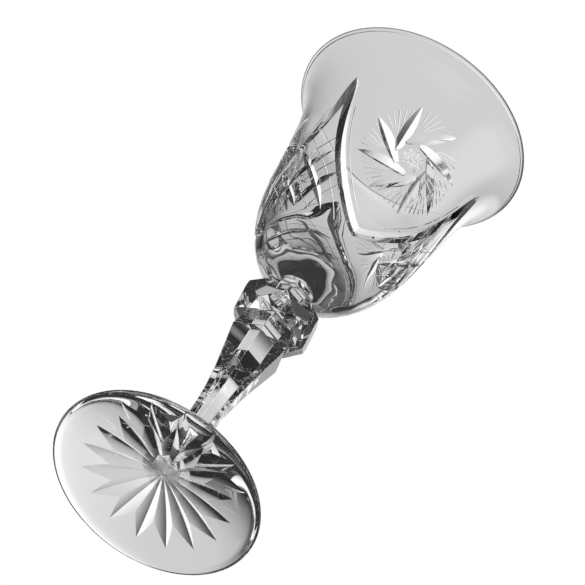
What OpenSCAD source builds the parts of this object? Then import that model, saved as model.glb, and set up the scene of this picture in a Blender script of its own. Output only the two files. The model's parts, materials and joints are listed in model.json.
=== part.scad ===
// Cut-crystal liqueur glass: foot, stem, knop, neck and bowl, stacked on one upright axis.
// The origin is the middle of the circle that the foot stands on, and one pinwheel panel faces -Y.

/* [Foot] */
// Diameter of the foot
foot_d = 46.5; // [40:0.5:60]
// Height of the foot at its middle, where the stem is seated
foot_h = 6.6; // [5:0.1:9]
// Radius of the lower edge of the foot
foot_edge = 0.3; // [0.2:0.05:0.6]
// Half of the width of the oval that rounds the top of the edge
foot_edge_in = 1.8; // [1.2:0.1:3]
// Half of the height of that oval
foot_edge_up = 1.1; // [0.8:0.1:1.6]
// Width of the flat ring that the foot stands on
foot_ring = 1.4; // [1:0.1:3]
// Height of the hollow under the foot at its middle
foot_hollow = 1; // [0.6:0.1:1.6]

/* [Star under the foot] */
// Number of rays in the star
star_rays = 16; // [8:2:20]
// Radius of the circle through the tips of the rays
star_r = 17.1; // [12:0.1:18]
// Depth of the rays where they cross at the middle
star_depth = 2.4; // [0.8:0.1:2.6]

/* [Stem] */
// Length of the stem from the foot to the knop
stem_h = 46.1; // [35:0.1:65]
// Width across the flats at the waist of the stem
stem_waist = 5.9; // [5:0.1:7]
// Height of the waist above the foot
stem_waist_h = 13.2; // [8:0.1:16]
// Radius of the hollow curve of the six faces
stem_curve = 105; // [100:1:160]
// Length of the flat facets below the shoulder of the stem
stem_band = 8.1; // [6:0.1:9]
// Length of the facets between the shoulder and the knop
stem_cap = 5.8; // [4:0.1:7]
// Width across the flats at the shoulder
stem_shoulder = 12.2; // [11.5:0.1:13]
// Width across the flats where the stem meets the knop
stem_top = 10.5; // [9.5:0.1:11]
// Angle by which the six-sided cuts are turned from the middle of a bowl panel
stem_turn = 9; // [-30:1:30]

/* [Knop] */
// Width across the six upright faces of the knop
knop_w = 16.5; // [15:0.1:20]
// Height of the knop
knop_h = 10.2; // [9.5:0.1:12]
// Height of the facets between the seat and the upright faces
knop_heel = 1.1; // [0.8:0.1:1.5]
// Height of the upright edges at the corners
knop_edge = 1.7; // [1:0.1:2.5]
// Slope of the six upper facets
knop_top_slope = 40; // [35:1:42]
// Width of the ledge around the stem and around the neck
knop_ledge = 0.3; // [0.1:0.05:0.5]

/* [Neck] */
// Height of the six-sided neck between the knop and the bowl
neck_h = 3.6; // [2:0.1:6]
// Width across the flats of the neck
neck_w = 6.5; // [5.5:0.1:7]

/* [Bowl] */
// Height of the bowl above the neck
bowl_h = 59.2; // [50:0.1:75]
// Outer diameter of the rim
rim_d = 51.5; // [46:0.5:60]
// Thickness of the rim, rounded by the flame
rim_t = 1.1; // [0.9:0.1:2]
// Outer radius where the round cup ends and the side begins
cup_r = 16.3; // [15:0.1:20]
// Height of the round cup
cup_h = 16; // [13:0.5:20]
// Thickness of the wall where the pattern is cut
wall_t = 2.9; // [2.6:0.1:3.6]
// Thickness of the glass under the drink
base_t = 8; // [6:0.1:9]
// Width of the flat at the bottom of the bowl around the neck
bowl_ledge = 0.4; // [0.2:0.05:0.8]

/* [Pattern on the bowl] */
// Number of pinwheel panels around the bowl
panels = 3; // [3:1:4]
// Depth of the long cuts between panels and petals
edge_depth = 0.9; // [0.5:0.05:1.1]
// Height of the lowest point of a panel above the neck
panel_low = 10.8; // [9:0.1:14]
// Height of the tips of the petals above the neck
petal_tip = 48; // [42:0.1:48]
// Number of cuts in a pinwheel
vanes = 8; // [6:1:10]
// Height of the middle of a pinwheel above the neck
wheel_z = 32.8; // [30:0.1:35]
// Half of the width of a pinwheel
wheel_rx = 12.6; // [10:0.1:13]
// Half of the height of a pinwheel
wheel_rz = 14.4; // [12:0.1:14.5]
// Radius of the plain hub of a pinwheel
hub_r = 4.2; // [3:0.1:5]
// Depth of a pinwheel cut
vane_depth = 1.05; // [0.4:0.05:1.2]
// Height from one crossing of the cuts in a petal to the next
hatch_step = 9.9; // [9:0.1:12]
// Depth of the crossing cuts in a petal
hatch_depth = 0.65; // [0.3:0.05:0.7]

/* [Hidden] */
$fn = 96;
glass = [0.86, 0.89, 0.90];

stem_z = foot_h;
knop_z = stem_z + stem_h;
neck_z = knop_z + knop_h;
bowl_z = neck_z + neck_h;

// Half of the angle of the cutting wheels' edges, in the star and on the bowl
star_half_angle = 55;
cut_half_angle = 52;
// How far a cutter stands clear of the face that it cuts
clear = 0.3;
// How far the bottom of a cut's V stands out of the glass where the cut runs out
lift = 0.2;

// Foot: a dished hollow, a flat ring, a round edge and a dome that steepens from the stem to the edge
foot_ledge = 1.5;
foot_seat_r = stem_half(0) / cos(30) + foot_ledge;
foot_round_steps = 3;
foot_oval_end = 55;
foot_oval_steps = 6;
foot_round_r = foot_d / 2 - foot_edge;
foot_hollow_r = foot_round_r - foot_ring;
foot_dome = 0.84;
foot_steps = 10;
hollow_steps = 6;

function hollow_z(r) = foot_hollow * (1 - pow(r / foot_hollow_r, 2));

function arc_points(cx, cy, r, from, to, steps) =
    [for (i = [0:steps]) let (a = from + (to - from) * i / steps) [cx + r * cos(a), cy + r * sin(a)]];

edge_round = arc_points(foot_round_r, foot_edge, foot_edge, -90, 0, foot_round_steps);
edge_oval = [for (i = [1:foot_oval_steps]) let (a = foot_oval_end * i / foot_oval_steps) [
    foot_d / 2 - foot_edge_in * (1 - cos(a)),
    foot_edge + foot_edge_up * sin(a)]];
dome_start = edge_oval[foot_oval_steps - 1];

function foot_outline() = concat(
    [for (i = [0:hollow_steps]) let (r = foot_hollow_r * i / hollow_steps) [r, hollow_z(r)]],
    edge_round,
    edge_oval,
    [for (i = [1:foot_steps]) let (u = i / foot_steps) [
        dome_start[0] + (foot_seat_r - dome_start[0]) * u,
        dome_start[1] + (foot_h - dome_start[1]) * pow(u, foot_dome)]],
    [[0, foot_h]]);

// A cutter with a V section, from the bottom and the two edges of the V at each place along it
module v_cutter(points) {
    n = len(points) / 3;
    walls = [for (i = [0:n - 2], k = [0:2])
        let (a = 3 * i + k, b = 3 * i + (k + 1) % 3)
        each [[a, b + 3, b], [a, a + 3, b + 3]]];
    polyhedron(points, concat([[0, 1, 2]], walls, [[3 * n - 3, 3 * n - 1, 3 * n - 2]]));
}

// One ray: a V-groove with the curve of a large wheel, deepest at the middle, that runs out at its tip
ray_steps = 8;

module star_ray() {
    middle_z = foot_hollow + star_depth;
    fall = middle_z - hollow_z(star_r);
    deep = middle_z + clear;
    half_w = deep * tan(star_half_angle);
    v_cutter([for (i = [0:ray_steps])
        let (x = (star_r + 2 * clear) * i / ray_steps - clear, z = middle_z - fall * pow(x / star_r, 2))
        each [[x, 0, z], [x, -half_w, z - deep], [x, half_w, z - deep]]]);
}

module foot() {
    color(glass)
        difference() {
            rotate_extrude()
                polygon(foot_outline());
            for (i = [0:star_rays - 1])
                rotate(360 * i / star_rays)
                    star_ray();
        }
}

// A solid with six faces around the axis, from the half width of its faces at each height
module six_sided(half_outline) {
    other = [for (i = [len(half_outline) - 1:-1:0]) [-half_outline[i][0], half_outline[i][1]]];
    span = 4 * max([for (p = half_outline) p[0]]);
    intersection_for (k = [0:2])
        rotate(60 * k)
            rotate([90, 0, 0])
                translate([0, 0, -span / 2])
                    linear_extrude(height = span)
                        polygon(concat(half_outline, other));
}

// Stem
stem_shoulder_h = stem_h - stem_cap;
stem_band_h = stem_shoulder_h - stem_band;
stem_steps = 12;

function stem_half(h) = stem_waist / 2 + pow(h - stem_waist_h, 2) / (2 * stem_curve);

function stem_outline() = concat(
    [for (i = [0:stem_steps]) let (h = stem_band_h * i / stem_steps) [stem_half(h), h]],
    [[stem_shoulder / 2, stem_shoulder_h], [stem_top / 2, stem_h]]);

module stem() {
    color(glass)
        translate([0, 0, stem_z])
            rotate(stem_turn)
                rotate(90)
                    six_sided(stem_outline());
}

// Knop
knop_half = knop_w / 2;
knop_corner = knop_half / cos(30);
knop_seat_half = stem_top / 2 + knop_ledge;
knop_seat_corner = stem_top / 2 / cos(30) + knop_ledge;
knop_head_corner = neck_w / 2 / cos(30) + knop_ledge;
knop_shoulder_h = knop_h - (knop_corner - knop_head_corner) * tan(knop_top_slope);

// Upright faces, in line with the faces of the stem, over shallow facets
function knop_faces() = [[knop_seat_half, 0], [knop_half, knop_heel], [knop_half, knop_h]];

// Kite facets at the corners, below and above
function knop_kites() = [
    [knop_seat_corner, 0],
    [knop_corner, knop_shoulder_h - knop_edge],
    [knop_corner, knop_shoulder_h],
    [knop_head_corner, knop_h]];

module knop() {
    color(glass)
        translate([0, 0, knop_z])
            rotate(stem_turn)
                intersection() {
                    rotate(90)
                        six_sided(knop_faces());
                    rotate(60)
                        six_sided(knop_kites());
                }
}

module neck() {
    color(glass)
        translate([0, 0, neck_z])
            rotate(stem_turn)
                rotate(90)
                    six_sided([[neck_w / 2, 0], [neck_w / 2, neck_h]]);
}

// Bowl: two cubic curves from the neck to the rim, with the wall's thickness laid off inwards
bowl_seat_r = neck_w / 2 / cos(30) + bowl_ledge;
rim_r = rim_d / 2;
rim_z = bowl_h - rim_t / 2;
heel_w = 3.3;
heel_rise = 1.8;
cup_lead = 9.7;
side_lead = 10.5;
cup_slope = 0.307;
lip_w = 7.5;
lip_h = 7.8;
curve_steps = 14;

cup_points = [
    [bowl_seat_r, 0],
    [bowl_seat_r + heel_w, heel_rise],
    [cup_r - cup_slope * cup_lead, cup_h - cup_lead],
    [cup_r, cup_h]];
side_points = [
    [cup_r, cup_h],
    [cup_r + cup_slope * side_lead, cup_h + side_lead],
    [rim_r - lip_w, rim_z - lip_h],
    [rim_r, rim_z]];

function curve(p, u) =
    pow(1 - u, 3) * p[0] + 3 * u * pow(1 - u, 2) * p[1] + 3 * u * u * (1 - u) * p[2] + pow(u, 3) * p[3];

function heading(p, u) =
    let (d = pow(1 - u, 2) * (p[1] - p[0]) + 2 * u * (1 - u) * (p[2] - p[1]) + u * u * (p[3] - p[2]))
    d / norm(d);

function inward(p, u) = let (d = heading(p, u)) [-d[1], d[0]];

// The inside of the cup: level at the middle, and running into the inside of the wall
floor_lead = 9.5;
cup_inside_lead = 5.5;
wall_foot = side_points[0] + wall_t * inward(side_points, 0);
cup_inside_points = [
    [0, base_t],
    [floor_lead, base_t],
    wall_foot - cup_inside_lead * [cup_slope, 1],
    wall_foot];

// Towards the rim the thickness is laid off level, so that the rim stays flat
function side_inside(u) =
    let (n = inward(side_points, u), level = [n[0], n[1] * (1 - u)])
    curve(side_points, u) + (wall_t + (rim_t - wall_t) * u) * level / norm(level);

steps = [for (i = [0:curve_steps]) i / curve_steps];
inner_steps = [for (i = [1:curve_steps]) i / curve_steps];
outside = concat([for (u = steps) curve(cup_points, u)], [for (u = inner_steps) curve(side_points, u)]);
inside = concat([for (u = steps) curve(cup_inside_points, u)], [for (u = inner_steps) side_inside(u)]);

function bowl_outline() = concat(
    [[0, 0]],
    outside,
    arc_points(rim_r - rim_t / 2, rim_z, rim_t / 2, 30, 150, 4),
    [for (i = [len(inside) - 1:-1:0]) inside[i]]);

// A place on the outside of the bowl, from its angle off the front and its height
radius_by_height = [for (p = outside) [p[1], p[0]]];

function radius_at(z) = lookup(z, radius_by_height);

function on_bowl(angle, z) = [radius_at(z) * sin(angle), -radius_at(z) * cos(angle), z];

function out_of_bowl(angle, z) =
    let (dz = 0.5, lean = atan((radius_at(z + dz) - radius_at(z - dz)) / (2 * dz)))
    [cos(lean) * sin(angle), -cos(lean) * cos(angle), -sin(lean)];

// A V-groove along places [angle, height] on the bowl, as deep at each as depths says
module groove(places, depths) {
    n = len(places);
    mid = [for (p = places) on_bowl(p[0], p[1])];
    out = [for (p = places) out_of_bowl(p[0], p[1])];
    along = [for (i = [0:n - 1]) mid[min(i + 1, n - 1)] - mid[max(i - 1, 0)]];
    side = [for (i = [0:n - 1]) let (s = cross(out[i], along[i])) s / norm(s)];
    half = [for (d = depths) (d + clear) * tan(cut_half_angle)];
    v_cutter([for (i = [0:n - 1]) each [
        mid[i] - depths[i] * out[i],
        mid[i] + clear * out[i] + half[i] * side[i],
        mid[i] + clear * out[i] - half[i] * side[i]]]);
}

// A long cut from the low point of a panel, up one of its sides to the tip of a petal, as [angle, height]
half_panel = 180 / panels;
edge_steps = 14;
edge_overrun = 0.03;
edge_lead = 24;
edge_lead_rise = 1.5;
edge_hook = 5;
edge_hook_rise = 15.2;
edge_points = [
    [0, panel_low],
    [edge_lead, panel_low + edge_lead_rise],
    [half_panel - edge_hook, panel_low + edge_hook_rise],
    [half_panel, petal_tip]];
edge_line = [for (i = [0:edge_steps]) curve(edge_points, i / edge_steps)];

module panel_edge(hand) {
    u = [for (i = [0:edge_steps]) (1 + edge_overrun) * i / edge_steps - edge_overrun];
    groove(
        [for (t = u) let (p = curve(edge_points, t)) [hand * p[0], p[1]]],
        [for (t = u) t < 1 ? edge_depth : -lift]);
}

// A pinwheel: each cut runs from its tip to a place beside the hub, and ends while it is still deep
vane_steps = 8;
vane_lead = 76;
vane_deepest = 0.6;

module vane(i) {
    at = 360 * (i + 0.5) / vanes;
    tip = [wheel_rx * cos(at), wheel_rz * sin(at)];
    root = hub_r * [cos(at + vane_lead), sin(at + vane_lead)];
    u = [for (k = [0:vane_steps]) k / vane_steps];
    degrees_per_mm = 180 / PI / radius_at(wheel_z);
    groove(
        [for (t = u) let (p = tip + (root - tip) * t) [p[0] * degrees_per_mm, wheel_z + p[1]]],
        [for (t = u) (vane_depth + lift) * (1 - pow(t / vane_deepest - 1, 2)) - lift]);
}

// Crossing cuts in a petal, sloping up to one hand or the other, that run out at the panel edges
hatch_rise = 0.4;
hatch_rows = 2;
hatch_places = 3;
hatch_low = panel_low - 1.2;
hatch_swell = 5;

function in_petal(angle, z) = z > hatch_low && z < lookup(half_panel - abs(angle), edge_line);

module petal_cut(row, hand) {
    middle = panel_low + hatch_step * row;
    angles = [for (a = [-half_panel:hatch_places:half_panel]) if (in_petal(a, middle + hatch_rise * a)) a];
    n = len(angles);
    groove(
        [for (a = angles) [half_panel + hand * a, middle + hatch_rise * a]],
        [for (i = [0:n - 1]) let (t = i / (n - 1))
            (hatch_depth + lift) * min(1, hatch_swell * t * (1 - t)) - lift]);
}

module bowl() {
    color(glass)
        translate([0, 0, bowl_z])
            difference() {
                rotate_extrude()
                    polygon(bowl_outline());
                for (p = [0:panels - 1])
                    rotate(360 * p / panels) {
                        panel_edge(-1);
                        panel_edge(1);
                        for (i = [0:vanes - 1])
                            vane(i);
                        for (row = [0:hatch_rows - 1], hand = [-1, 1])
                            petal_cut(row, hand);
                    }
            }
}

foot();
stem();
knop();
neck();
bowl();
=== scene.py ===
import json
from math import atan, cos, pi, radians, sin, tan

import bmesh
import bpy
import numpy as np
from mathutils import Matrix, Vector

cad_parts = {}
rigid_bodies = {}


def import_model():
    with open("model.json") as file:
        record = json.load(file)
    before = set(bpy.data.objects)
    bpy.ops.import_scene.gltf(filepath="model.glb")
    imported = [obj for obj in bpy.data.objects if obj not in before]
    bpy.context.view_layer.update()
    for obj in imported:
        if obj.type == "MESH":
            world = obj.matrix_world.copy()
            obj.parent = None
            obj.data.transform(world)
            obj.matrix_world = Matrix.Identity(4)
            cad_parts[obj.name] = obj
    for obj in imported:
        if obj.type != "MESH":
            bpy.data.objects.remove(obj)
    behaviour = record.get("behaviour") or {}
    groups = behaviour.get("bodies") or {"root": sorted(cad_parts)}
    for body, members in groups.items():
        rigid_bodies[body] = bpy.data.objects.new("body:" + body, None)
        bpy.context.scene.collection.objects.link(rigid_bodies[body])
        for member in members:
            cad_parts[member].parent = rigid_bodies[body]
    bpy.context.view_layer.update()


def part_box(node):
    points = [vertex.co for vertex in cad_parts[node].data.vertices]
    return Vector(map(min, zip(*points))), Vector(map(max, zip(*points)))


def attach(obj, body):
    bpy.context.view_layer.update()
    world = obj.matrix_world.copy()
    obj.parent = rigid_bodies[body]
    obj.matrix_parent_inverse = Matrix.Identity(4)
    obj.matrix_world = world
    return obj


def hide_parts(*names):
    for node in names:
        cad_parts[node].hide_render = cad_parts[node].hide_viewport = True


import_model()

# Foot
# A round foot of lead crystal, pressed hot, that stands on a narrow ring around a hollow underside.
# A wheel cuts sixteen rays into the hollow, and an acid bath polishes them as bright as the rest.
MM = 0.001  # sizes are in millimetres, and the frame is in metres
foot_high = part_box("foot")[1]
foot_r = foot_high.x / MM
foot_h = foot_high.z / MM
foot_edge = 0.3
foot_edge_in = 1.8
foot_edge_up = 1.1
foot_ring = 1.4
foot_hollow = 1.0
foot_dome = 0.84
foot_edge_end = radians(55)
foot_ledge = 1.5
star_rays = 16
star_r = 17.1
star_depth = 2.4
star_half_angle = radians(55)
star_clear = 0.3

# The six faces of the stem look this way from the axis, and its seat on the foot has this half width
six_turn = radians(-81)
stem_waist_half = 2.95
stem_waist_h = 13.2
stem_curve = 105.0


def stem_half(h):
    """Half width of the hollow-ground stem at a height above the foot."""
    return stem_waist_half + (h - stem_waist_h) ** 2 / (2 * stem_curve)


def linear(code):
    """The linear colour of an sRGB hex value."""
    parts = [int(code[i:i + 2], 16) / 255 for i in (1, 3, 5)]
    return [c / 12.92 if c <= 0.04045 else ((c + 0.055) / 1.055) ** 2.4 for c in parts] + [1.0]


def add(tree, kind, inputs=None, **settings):
    """Adds a node, sets its settings, and sets or links its inputs."""
    node = tree.nodes.new(kind)
    for name, value in settings.items():
        setattr(node, name, value)
    for name, value in (inputs or {}).items():
        if isinstance(value, bpy.types.NodeSocket):
            tree.links.new(value, node.inputs[name])
        else:
            node.inputs[name].default_value = value
    return node


def crystal(name, wave_mm, wave_height_mm, haze):
    """Clear lead crystal: colourless and highly refractive, with the faint waves and haze of its making."""
    material = bpy.data.materials.new(name)
    material.use_nodes = True
    tree = material.node_tree
    tree.nodes.clear()
    place = add(tree, "ShaderNodeTexCoord").outputs["Object"]
    waves = add(tree, "ShaderNodeTexNoise", {"Vector": place, "Scale": 1 / (wave_mm * MM), "Detail": 1.0})
    bump = add(tree, "ShaderNodeBump", {
        "Height": waves.outputs["Fac"], "Strength": 1.0, "Distance": wave_height_mm * MM})
    # Polish marks are finer than this, and are drawn as coarse as they need to show
    polish_mark_mm = 2.5
    polish_marks = add(tree, "ShaderNodeTexNoise", {
        "Vector": place, "Scale": 1 / (polish_mark_mm * MM), "Detail": 3.0})
    roughness = add(tree, "ShaderNodeMapRange", {
        "Value": polish_marks.outputs["Fac"], "From Min": 0.35, "From Max": 0.75,
        "To Min": 0.0, "To Max": haze})
    glass = add(tree, "ShaderNodeBsdfPrincipled", {
        "Base Color": linear("#FDFDFD"), "IOR": 1.545, "Transmission Weight": 1.0,
        "Roughness": roughness.outputs["Result"], "Normal": bump.outputs["Normal"]})
    add(tree, "ShaderNodeOutputMaterial", {"Surface": glass.outputs["BSDF"]})
    return material


# Pressed glass keeps the long soft waves of its mould, so what it shows bends a little.
# Cut faces are truer and break up what they show, and the star's are the least polished of them.
pressed_crystal = crystal("pressed_lead_crystal", 9.0, 0.004, 0.03)
cut_crystal = crystal("cut_and_polished_lead_crystal", 3.0, 0.001, 0.04)
star_crystal = crystal("star_cut_lead_crystal", 2.5, 0.01, 0.16)

# The wheel's rays all meet in the middle of the star, which stays a little matt from so many passes
star_matt_r = 3.0
star_clear_r = 4.5
star_matt = 0.4
star_tree = star_crystal.node_tree
star_glass = star_tree.nodes["Principled BSDF"].inputs
star_place = star_tree.nodes["Texture Coordinate"].outputs["Object"]
level_place = add(star_tree, "ShaderNodeVectorMath", {
    0: star_place, 1: (1, 1, 0)}, operation="MULTIPLY").outputs["Vector"]
off_axis = add(star_tree, "ShaderNodeVectorMath", {0: level_place}, operation="LENGTH").outputs["Value"]
matt_middle = add(star_tree, "ShaderNodeMapRange", {
    "Value": off_axis, "From Min": star_matt_r * MM, "From Max": star_clear_r * MM,
    "To Min": star_matt, "To Max": 0.0}).outputs["Result"]
star_roughness = add(star_tree, "ShaderNodeMath", {
    0: star_tree.nodes["Map Range"].outputs["Result"], 1: matt_middle}, operation="MAXIMUM")
star_tree.links.new(star_roughness.outputs["Value"], star_glass["Roughness"])

# The acid bath rounds a ray's faces, to this radius, from its sharp valley out to its edges
star_round = 6.0
star_spot = add(star_tree, "ShaderNodeSeparateXYZ", {"Vector": star_place}).outputs
bearing = add(star_tree, "ShaderNodeMath", {
    0: star_spot["Y"], 1: star_spot["X"]}, operation="ARCTAN2").outputs["Value"]
off_ray = add(star_tree, "ShaderNodeMath", {
    0: bearing, 1: pi / star_rays}, operation="PINGPONG").outputs["Value"]
aside = add(star_tree, "ShaderNodeMath", {0: off_ray}, operation="SINE").outputs["Value"]
from_valley = add(star_tree, "ShaderNodeMath", {
    0: aside, 1: off_axis}, operation="MULTIPLY").outputs["Value"]
squared = add(star_tree, "ShaderNodeMath", {
    0: from_valley, 1: from_valley}, operation="MULTIPLY").outputs["Value"]
fall = add(star_tree, "ShaderNodeMath", {
    0: squared, 1: 2 * star_round * MM}, operation="DIVIDE").outputs["Value"]
rounding = add(star_tree, "ShaderNodeBump", {
    "Height": fall, "Strength": 1.0, "Distance": 1.0,
    "Normal": star_tree.nodes["Bump"].outputs["Normal"]}, invert=True)
star_tree.links.new(rounding.outputs["Normal"], star_glass["Normal"])

# Where two pieces were joined hot the glass runs through, so the face between them shows nothing
fused_seam = bpy.data.materials.new("fused_seam")
fused_seam.use_nodes = True
fused_seam.node_tree.nodes.clear()
through = add(fused_seam.node_tree, "ShaderNodeBsdfTransparent")
add(fused_seam.node_tree, "ShaderNodeOutputMaterial", {"Surface": through.outputs["BSDF"]})

# Places of a piece's finishes in its list of materials; the finish of its cuts comes after them
TURNED, SEAM = 0, 1


def ring(radius, z, steps):
    """A level circle of points, that begins at a corner of the six-sided stem."""
    angles = [six_turn + pi / 6 + 2 * pi * i / steps for i in range(steps)]
    return [(radius * cos(a), radius * sin(a), z) for a in angles]


def six_ring(half, z, steps):
    """Points around a six-sided outline, in line with the stem, from the half width of its faces."""
    points = []
    for i in range(steps):
        off = 2 * pi * i / steps % (pi / 3) - pi / 6
        points.append(ring(half / cos(off), z, steps)[i])
    return points


def skin(name, loops, materials):
    """A closed mesh through loops of points. A single point is a pole, and an open end gets a seam face."""
    vertices, faces, finishes, steps, starts = [], [], [], [], []
    for loop in loops:
        starts.append(len(vertices))
        vertices += [Vector(p) * MM for p in loop]
    for step, (a, b, low, high) in enumerate(zip(starts, starts[1:], loops, loops[1:])):
        n = max(len(low), len(high))
        for i in range(n):
            j = (i + 1) % n
            corners = [a + i, a + j, b + j, b + i]
            if len(low) == 1:
                corners = [a, b + j, b + i]
            if len(high) == 1:
                corners = [a + i, a + j, b]
            faces.append(corners)
            finishes.append(TURNED)
            steps.append(step)
    for start, loop in ((starts[0], loops[0]), (starts[-1], loops[-1])):
        if len(loop) > 1:
            faces.append([start + i for i in range(len(loop))])
            finishes.append(SEAM)
            steps.append(0)
    mesh = bpy.data.meshes.new(name)
    mesh.from_pydata(vertices, [], faces)
    for material in materials:
        mesh.materials.append(material)
    mesh.polygons.foreach_set("material_index", finishes)
    mesh.attributes.new("outline_step", "INT", "FACE").data.foreach_set("value", steps)
    shape = bmesh.new()
    shape.from_mesh(mesh)
    bmesh.ops.recalc_face_normals(shape, faces=shape.faces)
    shape.to_mesh(mesh)
    shape.free()
    return mesh


def show(name, mesh):
    """Puts a mesh in the scene as a piece."""
    piece = bpy.data.objects.new(name, mesh)
    bpy.context.scene.collection.objects.link(piece)
    return piece


def cutter(cuts, loops):
    """A closed cutting shape through loops of points, which joins the cuts of a piece."""
    mesh = skin(f"{cuts.name} {len(cuts.objects)}", loops, [])
    wheel_cut = mesh.attributes.new("wheel_cut", "BOOLEAN", "FACE")
    wheel_cut.data.foreach_set("value", [True] * len(mesh.polygons))
    cuts.objects.link(bpy.data.objects.new(mesh.name, mesh))


# A tree that takes cuts out of a blank, repeated around its axis as the glass is turned against a wheel.
# The cuts cross each other, so they are first joined one by one into a single tool.
cutting = bpy.data.node_groups.new("Cut round the axis", "GeometryNodeTree")
for socket, value_type in (
        ("Blank", "Geometry"), ("Cuts", "Collection"), ("Places", "Int"), ("First angle", "Float"),
        ("Cut finish", "Material")):
    cutting.interface.new_socket(socket, in_out="INPUT", socket_type="NodeSocket" + value_type)
cutting.interface.new_socket("Glass", in_out="OUTPUT", socket_type="NodeSocketGeometry")
given = add(cutting, "NodeGroupInput").outputs
shapes = add(cutting, "GeometryNodeCollectionInfo", {
    "Collection": given["Cuts"], "Separate Children": True}).outputs["Instances"]
kinds = add(cutting, "GeometryNodeAttributeDomainSize", {
    0: shapes}, component="INSTANCES").outputs["Instance Count"]
total = add(cutting, "FunctionNodeIntegerMath", {
    0: kinds, 1: given["Places"]}, operation="MULTIPLY").outputs[0]
index = add(cutting, "GeometryNodeInputIndex").outputs["Index"]
kind = add(cutting, "FunctionNodeIntegerMath", {0: index, 1: kinds}, operation="MODULO").outputs[0]
turns = add(cutting, "FunctionNodeIntegerMath", {
    0: index, 1: kinds}, operation="DIVIDE_FLOOR").outputs[0]
share = add(cutting, "ShaderNodeMath", {0: 2 * pi, 1: given["Places"]}, operation="DIVIDE").outputs[0]
angle = add(cutting, "ShaderNodeMath", {
    0: turns, 1: share, 2: given["First angle"]}, operation="MULTIPLY_ADD").outputs[0]
turn = add(cutting, "ShaderNodeCombineXYZ", {"Z": angle}).outputs["Vector"]
spots = add(cutting, "GeometryNodePoints", {"Count": total}).outputs["Points"]
around = add(cutting, "GeometryNodeInstanceOnPoints", {
    "Points": spots, "Instance": shapes, "Pick Instance": True, "Instance Index": kind,
    "Rotation": turn}).outputs["Instances"]
begin = add(cutting, "GeometryNodeRepeatInput")
end = add(cutting, "GeometryNodeRepeatOutput")
begin.pair_with_output(end)
cutting.links.new(total, begin.inputs["Iterations"])
this = add(cutting, "FunctionNodeCompare", {
    2: index, 3: begin.outputs["Iteration"]}, data_type="INT", operation="EQUAL").outputs["Result"]
picked = add(cutting, "GeometryNodeSeparateGeometry", {
    "Geometry": around, "Selection": this}, domain="INSTANCE").outputs["Selection"]
next_cut = add(cutting, "GeometryNodeRealizeInstances", {"Geometry": picked}).outputs["Geometry"]
joined = add(cutting, "GeometryNodeMeshBoolean", {"Mesh 2": next_cut}, operation="UNION", solver="MANIFOLD")
cutting.links.new(begin.outputs["Geometry"], joined.inputs["Mesh 2"])
cutting.links.new(joined.outputs["Mesh"], end.inputs["Geometry"])
cut_out = add(cutting, "GeometryNodeMeshBoolean", {
    "Mesh 1": given["Blank"], "Mesh 2": end.outputs["Geometry"]}, operation="DIFFERENCE", solver="MANIFOLD")
whole = add(cutting, "GeometryNodeRealizeInstances", {
    "Geometry": cut_out.outputs["Mesh"]}).outputs["Geometry"]
on_cut = add(cutting, "GeometryNodeInputNamedAttribute", {"Name": "wheel_cut"}, data_type="BOOLEAN")
finished = add(cutting, "GeometryNodeSetMaterial", {
    "Geometry": whole, "Selection": on_cut.outputs["Attribute"], "Material": given["Cut finish"]})
add(cutting, "NodeGroupOutput", {"Glass": finished.outputs["Geometry"]})
sockets = {item.name: item.identifier for item in cutting.interface.items_tree if item.in_out == "INPUT"}


def cut_round(piece, cuts, number, first_angle, finish=cut_crystal):
    """Takes the cuts out of a piece at a number of places around the axis."""
    bpy.context.scene.collection.children.link(cuts)
    modifier = piece.modifiers.new("cuts", "NODES")
    modifier.node_group = cutting
    modifier[sockets["Cuts"]] = cuts
    modifier[sockets["Places"]] = number
    modifier[sockets["First angle"]] = first_angle
    modifier[sockets["Cut finish"]] = finish
    keep_shape(piece)
    for shape in list(cuts.objects):
        bpy.data.objects.remove(shape)
    bpy.data.collections.remove(cuts)


def keep_shape(piece):
    """Makes what a piece's modifiers give its plain mesh."""
    evaluated = piece.evaluated_get(bpy.context.evaluated_depsgraph_get())
    mesh = bpy.data.meshes.new_from_object(evaluated)
    piece.modifiers.clear()
    piece.data = mesh


def read(items, field, width=1):
    """One field of all of a mesh's items, as an array."""
    values = np.zeros(len(items) * width, type(getattr(items[0], field)) if width == 1 else float)
    items.foreach_get(field, values)
    return values.reshape(-1, width) if width > 1 else values


sharp_from = radians(8)
corner_from = radians(25)
pole_r = 0.05 * MM


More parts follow.
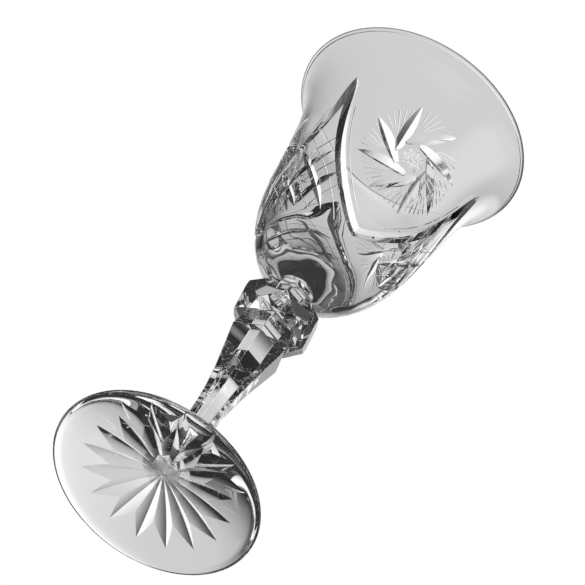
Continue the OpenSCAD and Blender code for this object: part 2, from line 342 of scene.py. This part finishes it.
def polish_turned(piece, outline):
    """Gives turned faces the normals of their outline, and keeps the edges of cuts sharp."""
    mesh = piece.data
    shape = bmesh.new()
    shape.from_mesh(mesh)
    for face in shape.faces:
        face.smooth = True
    for edge in shape.edges:
        one, other = edge.link_faces
        edge.smooth = one.material_index == other.material_index and edge.calc_face_angle() < sharp_from
    shape.to_mesh(mesh)
    shape.free()
    # Each step of the outline has a normal at its start and at its end, shared where the outline is round
    points = np.array(outline) * MM
    steps = np.diff(points, axis=0)
    flat = np.stack([steps[:, 1], -steps[:, 0]], axis=1) / np.linalg.norm(steps, axis=1)[:, None]
    start, end = flat.copy(), flat.copy()
    for i in range(len(flat) - 1):
        if np.dot(flat[i], flat[i + 1]) > cos(corner_from):
            end[i] = start[i + 1] = (flat[i] + flat[i + 1]) / np.linalg.norm(flat[i] + flat[i + 1])
    # Each corner of a turned face takes the normal at its own place along its step
    owner = np.repeat(np.arange(len(mesh.polygons)), read(mesh.polygons, "loop_total"))
    turned = read(mesh.polygons, "material_index")[owner] == TURNED
    step = read(mesh.attributes["outline_step"].data, "value")[owner][turned]
    spot = read(mesh.vertices, "co", 3)[read(mesh.loops, "vertex_index")][turned]
    level = spot[:, :2].copy()
    r = np.hypot(level[:, 0], level[:, 1])
    level[r < pole_r] = read(mesh.polygons, "center", 3)[owner][turned][r < pole_r, :2]
    level /= np.hypot(level[:, 0], level[:, 1])[:, None]
    from_start = np.stack([r, spot[:, 2]], axis=1) - points[step]
    ahead = (from_start * steps[step]).sum(1) / (steps[step] ** 2).sum(1)
    ahead = np.clip(ahead, 0, 1)[:, None]
    n = start[step] * (1 - ahead) + end[step] * ahead
    n /= np.linalg.norm(n, axis=1)[:, None]
    normals = read(mesh.corner_normals, "vector", 3)
    normals[turned] = np.column_stack([n[:, :1] * level, n[:, 1]])
    mesh.normals_split_custom_set(normals)


def hollow_z(r):
    """Height of the hollow underside at a distance from the axis."""
    return foot_hollow * (1 - (r / foot_hollow_r) ** 2)


def even(first, last, count):
    """Evenly spaced numbers from the first to the last."""
    return [first + (last - first) * i / (count - 1) for i in range(count)]


def arc(r, z, radius, first, last, steps):
    """Points along an arc of an outline, from its middle, radius and angles."""
    angles = [radians(a) for a in even(first, last, steps + 1)]
    return [(r + radius * cos(a), z + radius * sin(a)) for a in angles]


foot_steps = 192
dome_first = 0.02
dome_steps = 40
foot_seat_r = stem_half(0) / cos(pi / 6) + foot_ledge
foot_round_r = foot_r - foot_edge
foot_hollow_r = foot_round_r - foot_ring
foot_outline = [(r, hollow_z(r)) for r in even(0, foot_hollow_r, 40)]
foot_outline += [(r, 0) for r in even(foot_hollow_r, foot_round_r, 6)[1:-1]]
foot_outline += arc(foot_round_r, foot_edge, foot_edge, -90, 0, 6)
foot_outline += [
    (foot_r - foot_edge_in * (1 - cos(a)), foot_edge + foot_edge_up * sin(a))
    for a in even(0, foot_edge_end, 13)[1:]]
top_r, top_z = foot_outline[-1]
foot_outline += [
    (top_r + (foot_seat_r - top_r) * u, top_z + (foot_h - top_z) * u ** foot_dome)
    for u in even(dome_first, 1, dome_steps)]
foot_loops = [[(0, 0, foot_hollow)]] + [ring(r, z, foot_steps) for r, z in foot_outline[1:]]
foot_loops.append(six_ring(stem_half(0), foot_h, foot_steps))
foot = show("star_foot", skin("star_foot", foot_loops, [pressed_crystal, fused_seam, star_crystal]))

star_cuts = bpy.data.collections.new("star ray")
star_middle = foot_hollow + star_depth
star_fall = star_middle - hollow_z(star_r)
star_deep = star_middle + star_clear
star_reach = star_r + star_clear
star_half = star_deep * tan(star_half_angle)
star_vee = [(0, 0), (star_half, -star_deep), (-star_half, -star_deep)]
cutter(star_cuts, [
    [(x, y, star_middle - star_fall * (x / star_r) ** 2 + z) for y, z in star_vee]
    for x in even(0, star_reach, 15)])
cut_round(foot, star_cuts, star_rays, 0.0, star_crystal)
polish_turned(foot, foot_outline + [(0, foot_h)])


def fix(piece, node):
    """Every piece is fused to the next, so all of them are on the one body."""
    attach(piece, "root")
    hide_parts(node)


fix(foot, "foot")

# Stem
# A solid six-sided stem of lead crystal, drawn from the gather and seated hot on the foot.
# Its six faces are hollow-ground on a wheel, spread to a shoulder and draw in again under the knop.
stem_low, stem_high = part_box("stem")
stem_z = stem_low.z / MM
stem_h = stem_high.z / MM - stem_z
stem_cap = 5.8
stem_band = 8.1
stem_shoulder_half = 6.1
stem_top_half = 5.25

# The wheel reaches past the round blank, and polishing softens the edges that it leaves
blank_r = 16.0
blank_steps = 48
wheel_over = 1.0
wheel_reach = 18.0
wheel_span = 20.0
edge_softness = 0.12
soft_from = radians(6)
flat_within = radians(0.05)
same_spot = 1e-7


def facet(cuts, profile):
    """A cutting wheel's pass along one side: what lies outside a profile of (half width, height)."""
    first, last = profile[0], profile[-1]
    low, high = first[1] - wheel_over, last[1] + wheel_over
    side = [(first[0], low)] + profile + [(last[0], high), (wheel_reach, high), (wheel_reach, low)]
    cutter(cuts, [[(r, y, z) for r, z in side] for y in (-wheel_span, wheel_span)])


def blank(name, low_z, high_z, low_half=None, high_half=None):
    """A round blank for a six-sided piece, with six-sided seats where it is smaller than its neighbour."""
    loops = [ring(blank_r, low_z, blank_steps), ring(blank_r, high_z, blank_steps)]
    if low_half:
        loops.insert(0, six_ring(low_half, low_z, blank_steps))
    if high_half:
        loops.append(six_ring(high_half, high_z, blank_steps))
    return show(name, skin(name, loops, [cut_crystal, fused_seam]))


def polish_cut(piece):
    """Rounds the edges between cut faces by a hair, as polishing does, and keeps the faces true."""
    shape = bmesh.new()
    shape.from_mesh(piece.data)
    bmesh.ops.remove_doubles(shape, verts=shape.verts, dist=same_spot)
    bmesh.ops.dissolve_limit(
        shape, angle_limit=flat_within, verts=shape.verts, edges=shape.edges, delimit={"MATERIAL"})
    weight = shape.edges.layers.float.new("bevel_weight_edge")
    for edge in shape.edges:
        seam = any(face.material_index == SEAM for face in edge.link_faces)
        edge[weight] = 1.0 if not seam and edge.calc_face_angle(0) > soft_from else 0.0
    for face in shape.faces:
        face.smooth = True
    shape.to_mesh(piece.data)
    shape.free()
    bevel = piece.modifiers.new("polished edges", "BEVEL")
    bevel.limit_method = "WEIGHT"
    bevel.width = edge_softness * MM
    bevel.segments = 2
    bevel.harden_normals = True
    keep_shape(piece)


stem_shoulder_h = stem_h - stem_cap
stem_band_h = stem_shoulder_h - stem_band
stem_profile = [(stem_half(h), stem_z + h) for h in even(0, stem_band_h, 33)]
stem_profile += [(stem_shoulder_half, stem_z + stem_shoulder_h), (stem_top_half, stem_z + stem_h)]
stem = blank("six_sided_stem", stem_z, stem_z + stem_h)
stem_cuts = bpy.data.collections.new("stem face")
facet(stem_cuts, stem_profile)
cut_round(stem, stem_cuts, 6, six_turn)
polish_cut(stem)
fix(stem, "stem")

# Knop
# A solid knop of lead crystal between the stem and the neck, cut while it is cold.
# Six upright faces stand in line with the stem's, with kites below and above each corner.
knop_low, knop_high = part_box("knop")
knop_z = knop_low.z / MM
knop_h = knop_high.z / MM - knop_z
knop_half = 8.25
knop_heel = 1.1
knop_edge = 1.7
knop_ledge = 0.3
knop_top_slope = radians(40)
neck_half = 3.25
knop_corner = knop_half / cos(pi / 6)
knop_head = neck_half / cos(pi / 6) + knop_ledge
knop_shoulder_h = knop_h - (knop_corner - knop_head) * tan(knop_top_slope)
knop = blank("faceted_knop", knop_z, knop_z + knop_h, stem_top_half, neck_half)
knop_faces = bpy.data.collections.new("knop face")
facet(knop_faces, [
    (stem_top_half + knop_ledge, knop_z), (knop_half, knop_z + knop_heel), (knop_half, knop_z + knop_h)])
cut_round(knop, knop_faces, 6, six_turn)
knop_kites = bpy.data.collections.new("knop kite")
facet(knop_kites, [
    (stem_top_half / cos(pi / 6) + knop_ledge, knop_z),
    (knop_corner, knop_z + knop_shoulder_h - knop_edge),
    (knop_corner, knop_z + knop_shoulder_h),
    (knop_head, knop_z + knop_h)])
cut_round(knop, knop_kites, 6, six_turn + pi / 6)
polish_cut(knop)
fix(knop, "knop")

# Neck
# A short six-sided neck of lead crystal, fused to the knop below it and to the bowl above it.
# The same passes of the wheel that face the stem leave its six flat sides.
neck_low, neck_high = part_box("neck")
neck_z = neck_low.z / MM
neck_top = neck_high.z / MM
neck = blank("six_sided_neck", neck_z, neck_top)
neck_cuts = bpy.data.collections.new("neck face")
facet(neck_cuts, [(neck_half, neck_z), (neck_half, neck_top)])
cut_round(neck, neck_cuts, 6, six_turn)
polish_cut(neck)
fix(neck, "neck")

# Bowl
# A bell-shaped bowl of blown lead crystal, with a heavy base, a thinner lip and a flame-rounded rim.
# Wheels cut three pinwheel panels and, between them, three petals with crossing cuts.
# An acid bath then polishes the cuts, and the bowl is fused to the neck.
bowl_low, bowl_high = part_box("bowl")
bowl_z = bowl_low.z / MM
bowl_h = bowl_high.z / MM - bowl_z
rim_r = 25.75
rim_t = 1.1
cup_r = 16.3
cup_h = 16.0
wall_t = 2.9
base_t = 8.0
bowl_ledge = 0.4
bowl_seat_r = neck_half / cos(pi / 6) + bowl_ledge
rim_z = bowl_h - rim_t / 2
heel_w = 3.3
heel_rise = 1.8
cup_lead = 9.7
side_lead = 10.5
cup_slope = 0.307
lip_w = 7.5
lip_h = 7.8
floor_lead = 9.5
cup_inside_lead = 5.5

# Blown glass is fire polished, so it is the clearest, with waves as wide as a finger
blown_crystal = crystal("blown_lead_crystal", 8.0, 0.02, 0.02)

# The heavy base was worked last and hottest, so its glass is left wavier than the wall
base_wave = 6.0
base_wave_height = 0.4
base_wavy_z = bowl_z + base_t + 0.5
base_calm_z = bowl_z + base_t + 5.0
bowl_tree = blown_crystal.node_tree
bowl_place = bowl_tree.nodes["Texture Coordinate"].outputs["Object"]
height = add(bowl_tree, "ShaderNodeSeparateXYZ", {"Vector": bowl_place}).outputs["Z"]
near_base = add(bowl_tree, "ShaderNodeMapRange", {
    "Value": height, "From Min": base_wavy_z * MM, "From Max": base_calm_z * MM,
    "To Min": 1.0, "To Max": 0.0}, interpolation_type="SMOOTHSTEP")
base_waves = add(bowl_tree, "ShaderNodeTexNoise", {
    "Vector": bowl_place, "Scale": 1 / (base_wave * MM), "Detail": 0.0})
swell = add(bowl_tree, "ShaderNodeMath", {
    0: base_waves.outputs["Fac"], 1: near_base.outputs["Result"]}, operation="MULTIPLY")
base_bump = add(bowl_tree, "ShaderNodeBump", {
    "Height": swell.outputs["Value"], "Strength": 1.0, "Distance": base_wave_height * MM,
    "Normal": bowl_tree.nodes["Bump"].outputs["Normal"]})
bowl_tree.links.new(base_bump.outputs["Normal"], bowl_tree.nodes["Principled BSDF"].inputs["Normal"])

cup_points = np.array([
    (bowl_seat_r, 0), (bowl_seat_r + heel_w, heel_rise),
    (cup_r - cup_slope * cup_lead, cup_h - cup_lead), (cup_r, cup_h)])
side_points = np.array([
    (cup_r, cup_h), (cup_r + cup_slope * side_lead, cup_h + side_lead),
    (rim_r - lip_w, rim_z - lip_h), (rim_r, rim_z)])


def curve(p, u):
    """The place at u, from 0 to 1, on a cubic curve with four control points."""
    return (1 - u) ** 3 * p[0] + 3 * u * (1 - u) ** 2 * p[1] + 3 * u * u * (1 - u) * p[2] + u ** 3 * p[3]


def inward(p, u):
    """The way from such a curve into the wall of the bowl."""
    d = (1 - u) ** 2 * (p[1] - p[0]) + 2 * u * (1 - u) * (p[2] - p[1]) + u * u * (p[3] - p[2])
    return np.array([-d[1], d[0]]) / np.linalg.norm(d)


def side_inside(u):
    """The wall's thickness is laid off inwards, and level towards the rim, so that the rim stays flat."""
    n = inward(side_points, u) * (1, 1 - u)
    return curve(side_points, u) + (wall_t + (rim_t - wall_t) * u) * n / np.linalg.norm(n)


wall_foot = side_points[0] + wall_t * inward(side_points, 0)
cup_inside_points = np.array([
    (0, base_t), (floor_lead, base_t),
    wall_foot - cup_inside_lead * np.array([cup_slope, 1]), wall_foot])
bowl_steps = 240
outside = [curve(cup_points, u) for u in even(0, 1, 41)]
outside += [curve(side_points, u) for u in even(0, 1, 57)[1:]]
inside = [curve(cup_inside_points, u) for u in even(0, 1, 33)]
inside += [side_inside(u) for u in even(0, 1, 49)[1:]]
bowl_outline = [tuple(p) for p in outside]
bowl_outline += arc(rim_r - rim_t / 2, rim_z, rim_t / 2, 0, 180, 12)[1:-1]
bowl_outline += [tuple(p) for p in reversed(inside)]
bowl_outline = [(r, bowl_z + z) for r, z in bowl_outline]
bowl_loops = [six_ring(neck_half, bowl_z, bowl_steps)]
bowl_loops += [ring(r, z, bowl_steps) for r, z in bowl_outline[:-1]]
bowl_loops.append([(0, 0, bowl_outline[-1][1])])
bowl = show("cut_bowl", skin("cut_bowl", bowl_loops, [blown_crystal, fused_seam, cut_crystal]))

outside_z = [p[1] for p in outside]
outside_r = [p[0] for p in outside]
panels = 3
cut_half_angle = radians(52)
panel_low = 10.8
petal_tip = 48.0
hair_depth = 0.09
clear = 0.3
lift = 0.2
lean_step = 0.5


def wall(angle, z):
    """A place on the outside of the bowl, from its angle off the front and its height, and the way out."""
    r = np.interp(z, outside_z, outside_r)
    above, below = np.interp((z + lean_step, z - lean_step), outside_z, outside_r)
    lean = atan((above - below) / (2 * lean_step))
    out = Vector((cos(lean) * sin(angle), -cos(lean) * cos(angle), -sin(lean)))
    return Vector((r * sin(angle), -r * cos(angle), bowl_z + z)), out


def groove(cuts, places, depths):
    """A V-groove along places (angle, height) on the bowl, as deep at each as depths says."""
    spots = [wall(*p) for p in places]
    loops = []
    for i, ((mid, out), depth) in enumerate(zip(spots, depths)):
        along = spots[min(i + 1, len(spots) - 1)][0] - spots[max(i - 1, 0)][0]
        side = out.cross(along).normalized()
        half = (depth + clear) * tan(cut_half_angle)
        loops.append([mid - depth * out, mid + clear * out + half * side, mid + clear * out - half * side])
    cutter(cuts, loops)


def beside(places, gap):
    """Places along a line at a gap beside another line on the bowl."""
    spots = []
    for i, (angle, z) in enumerate(places):
        before, after = places[max(i - 1, 0)], places[min(i + 1, len(places) - 1)]
        r = np.interp(z, outside_z, outside_r)
        ahead = Vector((r * (after[0] - before[0]), after[1] - before[1])).normalized()
        spots.append((angle - gap * ahead.y / r, z + gap * ahead.x))
    return spots


def hairline(cuts, places):
    """A fine cut of even depth that runs out at both ends."""
    groove(cuts, places, [-lift] + [hair_depth] * (len(places) - 2) + [-lift])


# Panel edges: a deep cut that rises from the low middle of a panel to the tips of its petals on either
# hand, with a fine line beside it
pattern = bpy.data.collections.new("bowl pattern")
half_panel = pi / panels
edge_depth = 0.9
edge_lead = radians(24)
edge_lead_rise = 1.5
edge_hook = radians(5)
edge_hook_rise = 15.2
edge_overrun = 0.03
edge_runout = 0.08
edge_runout_least = 0.2
edge_line_gap = 1.9
edge_line_span = slice(10, 52)
edge_points = np.array([
    (0, panel_low), (edge_lead, panel_low + edge_lead_rise),
    (half_panel - edge_hook, panel_low + edge_hook_rise), (half_panel, petal_tip)])
panel_edge = [tuple(float(c) for c in curve(edge_points, t)) for t in even(0, 1, 60)]
for hand in (-1, 1):
    shares = even(-edge_overrun, 1, 40)
    places = [curve(edge_points, t) for t in shares]
    groove(
        pattern,
        [(float(hand * a), float(z)) for a, z in places],
        [edge_depth * min(1, (1 - t) / edge_runout + edge_runout_least) if t < 1 else -lift for t in shares])
    line = beside(panel_edge, edge_line_gap)[edge_line_span]
    hairline(pattern, [(hand * a, z) for a, z in line])


def edge_height(angle):
    """Height of a panel's edge at an angle off the middle of the panel."""
    return np.interp(angle, [a for a, z in panel_edge], [z for a, z in panel_edge])


# Pinwheel: eight vanes from their tips to the hub, deepest near the middle
vanes = 8
pinwheel_z = 32.8
pinwheel_rx = 12.6
pinwheel_rz = 14.4
hub_r = 4.2
vane_lead = radians(76)
vane_depth = 1.05
vane_deepest = 0.6
pinwheel_wall_r = np.interp(pinwheel_z, outside_z, outside_r)


def on_panel(x, y):
    """Angle and height of a place on the panel, from its distances off the middle of the pinwheel."""
    return x / pinwheel_wall_r, pinwheel_z + y


def vane_at(i):
    """Bearing of a vane's tip from the middle of the pinwheel."""
    return 2 * pi * (i + 0.5) / vanes


def on_pinwheel(bearing):
    """The place on the pinwheel's outline at a bearing."""
    return Vector((pinwheel_rx * cos(bearing), pinwheel_rz * sin(bearing)))


for i in range(vanes):
    tip = on_pinwheel(vane_at(i))
    root = hub_r * Vector((cos(vane_at(i) + vane_lead), sin(vane_at(i) + vane_lead)))
    shares = even(0, 1, 21)
    groove(
        pattern,
        [on_panel(*tip.lerp(root, t)) for t in shares],
        [(vane_depth + lift) * (1 - (t / vane_deepest - 1) ** 2) - lift for t in shares])

# Fine lines fan out between the vanes, and a fine star of eight points fills the hub
fan_lines = 5
fan_reach = 0.93
fork_reach = 0.42
fork_lead = radians(52)
fan_step = 0.07
for i in range(vanes):
    for k in range(1, fan_lines + 1):
        far = vane_at(i) + 2 * pi / vanes * k / (fan_lines + 1)
        end = fan_reach * on_pinwheel(far)
        fork = fork_reach * on_pinwheel(vane_at(i) + fork_lead)
        start = fork.lerp(end, fan_step * k)
        hairline(pattern, [on_panel(*start.lerp(end, t)) for t in even(0, 1, 9)])
hub_star_r = 3.0
hub_star_points = 8


def hub_point(i):
    """A point of the fine star in the hub."""
    bearing = 2 * pi * i / hub_star_points
    return hub_star_r * Vector((cos(bearing), sin(bearing)))


# Each point is joined to the third one on, and half of them also to the one across
for i in range(hub_star_points):
    for skip in ((3, 4) if i < hub_star_points / 2 else (3,)):
        hairline(pattern, [on_panel(*hub_point(i).lerp(hub_point(i + skip), t)) for t in even(0, 1, 13)])

# Petals: crossing cuts that slope up to either hand, between the low line and the panel edges.
# A whole row is a cut, and half a row is a fine line halfway between two cuts.
# A row rises 0.4 mm for each degree around the bowl.
hatch_step = 9.9
hatch_rise = 0.4 * 180 / pi
hatch_depth = 0.65
hatch_low = panel_low - 1.2
hatch_gap = 0.5
hatch_swell = 5
hatch_rows = (-0.5, 0, 0.5, 1, 1.5)
for row in hatch_rows:
    middle = panel_low + hatch_step * row
    angles = [
        a for a in even(-half_panel, half_panel, 121)
        if hatch_low < middle + hatch_rise * a < edge_height(half_panel - abs(a)) - hatch_gap]
    for hand in (-1, 1):
        places = [(half_panel + hand * a, middle + hatch_rise * a) for a in angles]
        if row % 1:
            hairline(pattern, places)
        else:
            groove(pattern, places, [
                (hatch_depth + lift) * min(1, hatch_swell * t * (1 - t)) - lift
                for t in even(0, 1, len(places))])

cut_round(bowl, pattern, panels, 0.0)
polish_turned(bowl, [(0, bowl_z)] + bowl_outline)
fix(bowl, "bowl")

# Table
# A pale matt table top, seen from above only, so that a view from below looks straight up at the glass.
# It carries painted shade: to looks that were reflected inside the glass it is painted dark (#3A3A3A), so
# that the facets keep their contrast.
table_r = 0.9
table_fade_r = 0.45
table_glow = 0.5
table_sides = 96
table_drop = -0.05 * MM
table_paint = bpy.data.materials.new("pale_matt_table")
table_paint.use_nodes = True
table_tree = table_paint.node_tree
table_tree.nodes.clear()
table_place = add(table_tree, "ShaderNodeTexCoord").outputs["Object"]
table_off = add(table_tree, "ShaderNodeVectorMath", {0: table_place}, operation="LENGTH")
fade = add(table_tree, "ShaderNodeMapRange", {
    "Value": table_off.outputs["Value"], "From Min": table_fade_r, "From Max": table_r},
    interpolation_type="SMOOTHSTEP")
behind = add(table_tree, "ShaderNodeNewGeometry")
unseen = add(table_tree, "ShaderNodeMath", {
    0: fade.outputs["Result"], 1: behind.outputs["Backfacing"]}, operation="MAXIMUM")
# Painted shade: pale to direct and refracted looks, painted dark to looks reflected inside the glass; its
# even glow takes the same colour
looks = add(table_tree, "ShaderNodeLightPath")
pale_with_painted_shade = add(table_tree, "ShaderNodeMix", {
    0: looks.outputs["Glossy Depth"], 6: linear("#F2F2F0"), 7: linear("#3A3A3A")}, data_type="RGBA")
matt = add(table_tree, "ShaderNodeBsdfDiffuse", {"Color": pale_with_painted_shade.outputs[2]})
glow = add(table_tree, "ShaderNodeEmission", {"Color": pale_with_painted_shade.outputs[2], "Strength": table_glow})
lit = add(table_tree, "ShaderNodeAddShader", {0: matt.outputs["BSDF"], 1: glow.outputs["Emission"]})
gone = add(table_tree, "ShaderNodeBsdfTransparent")
top = add(table_tree, "ShaderNodeMixShader", {
    0: unseen.outputs["Value"], 1: lit.outputs["Shader"], 2: gone.outputs["BSDF"]})
add(table_tree, "ShaderNodeOutputMaterial", {"Surface": top.outputs["Shader"]})
table_mesh = bpy.data.meshes.new("table")
table_angles = even(0, 2 * pi, table_sides + 1)[:-1]
table_corners = [(table_r * cos(a), table_r * sin(a), table_drop) for a in table_angles]
table_mesh.from_pydata(table_corners, [], [list(range(table_sides))])
table_mesh.materials.append(table_paint)
table = show("table", table_mesh)

# Camera
# Below the table, looking up at the star under the foot, with the glass leaning to one side.
# It stands far off with a long lens, so the glass is drawn almost without perspective.
camera_data = bpy.data.cameras.new("camera")
camera_data.sensor_width = 36.0
camera_data.lens = 615.38
camera = bpy.data.objects.new("camera", camera_data)
bpy.context.scene.collection.objects.link(camera)
camera_turn = radians(-12)
camera_lift = radians(-43.84)
camera_roll = radians(35.78)
camera_far = 2018.6 * MM
camera_right = 0.01367 * camera_far
camera_up = 0.01916 * camera_far


def facing(turn):
    """The way of a camera with this lift and roll, from its turn about the axis of the glass."""
    level = Matrix.Rotation(turn, 4, "Z") @ Matrix.Rotation(pi / 2 - camera_lift, 4, "X")
    return level @ Matrix.Rotation(camera_roll, 4, "Z")


camera.matrix_world = facing(camera_turn) @ Matrix.Translation((camera_right, camera_up, camera_far))
bpy.context.scene.camera = camera

# Room
# Dark, with a bright backdrop beyond the glass and a few soft lights around it.
# They are placed off the line of sight, and stay there when a view comes from elsewhere.
# A direct look past the glass sees white, as in a cut-out product photo.
world = bpy.data.worlds.new("studio")
bpy.context.scene.world = world
world.use_nodes = True
room_tree = world.node_tree
room_tree.nodes.clear()
look = add(room_tree, "ShaderNodeTexCoord").outputs["Generated"]

# The lights stand one degree round from the camera's own line of sight
room_turn = camera_turn + radians(1)
photo_right, photo_up, photo_near = facing(room_turn).to_3x3().col
photo_away = -photo_near


def soft_step(way, low, high, dark, light):
    """A soft step from dark to light as a look turns towards a way."""
    near = add(room_tree, "ShaderNodeVectorMath", {0: look, 1: way}, operation="DOT_PRODUCT")
    return add(room_tree, "ShaderNodeMapRange", {
        "Value": near.outputs["Value"], "From Min": low, "From Max": high, "To Min": dark, "To Max": light},
        interpolation_type="SMOOTHSTEP").outputs["Result"]


def soft_light(off, clock, full, reach, strength):
    """A round soft light, from its angle off the line of sight and which way, in degrees.

    It is even out to the angle full, and fades to nothing at reach."""
    off, clock = radians(off), radians(clock)
    way = cos(off) * photo_away + sin(off) * (cos(clock) * photo_right + sin(clock) * photo_up)
    return soft_step(way, cos(radians(reach)), cos(radians(full)), 0.0, strength)


def combine(operation, first, second):
    """Two strengths of light, added or multiplied."""
    return add(room_tree, "ShaderNodeMath", {0: first, 1: second}, operation=operation).outputs["Value"]


# The backdrop is dark to the left, even in the middle and brightest to the right
backdrop = soft_light(off=0, clock=0, full=34, reach=46, strength=1.0)
backdrop_dark = soft_step(photo_right, low=-0.42, high=-0.04, dark=0.07, light=0.67)
backdrop_bright = soft_step(photo_right, low=0.04, high=0.36, dark=0.0, light=0.53)
light_level = combine("MULTIPLY", backdrop, combine("ADD", backdrop_dark, backdrop_bright))
overhead_light = soft_light(off=56, clock=62, full=8, reach=22, strength=1.0)
side_light = soft_light(off=88, clock=-16, full=14, reach=36, strength=0.8)
low_light = soft_light(off=80, clock=-90, full=15, reach=40, strength=0.12)
front_light = soft_light(off=180, clock=0, full=40, reach=50, strength=0.5)
ambient = 0.025
for light in (overhead_light, side_light, low_light, front_light, ambient):
    light_level = combine("ADD", light_level, light)
rays = add(room_tree, "ShaderNodeLightPath")
room = add(room_tree, "ShaderNodeBackground", {"Color": linear("#FFFFFF"), "Strength": light_level})
white = add(room_tree, "ShaderNodeBackground", {"Color": linear("#FFFFFF"), "Strength": 1.0})
seen = add(room_tree, "ShaderNodeMixShader", {
    0: rays.outputs["Is Camera Ray"], 1: room.outputs["Background"], 2: white.outputs["Background"]})
add(room_tree, "ShaderNodeOutputWorld", {"Surface": seen.outputs["Shader"]})

# A look meets many faces of the glass before it leaves, so it is followed for long
bpy.context.scene.view_settings.view_transform = "Standard"
cycles = bpy.context.scene.cycles
cycles.max_bounces = 32
cycles.transmission_bounces = 32
cycles.glossy_bounces = 16
cycles.transparent_max_bounces = 32
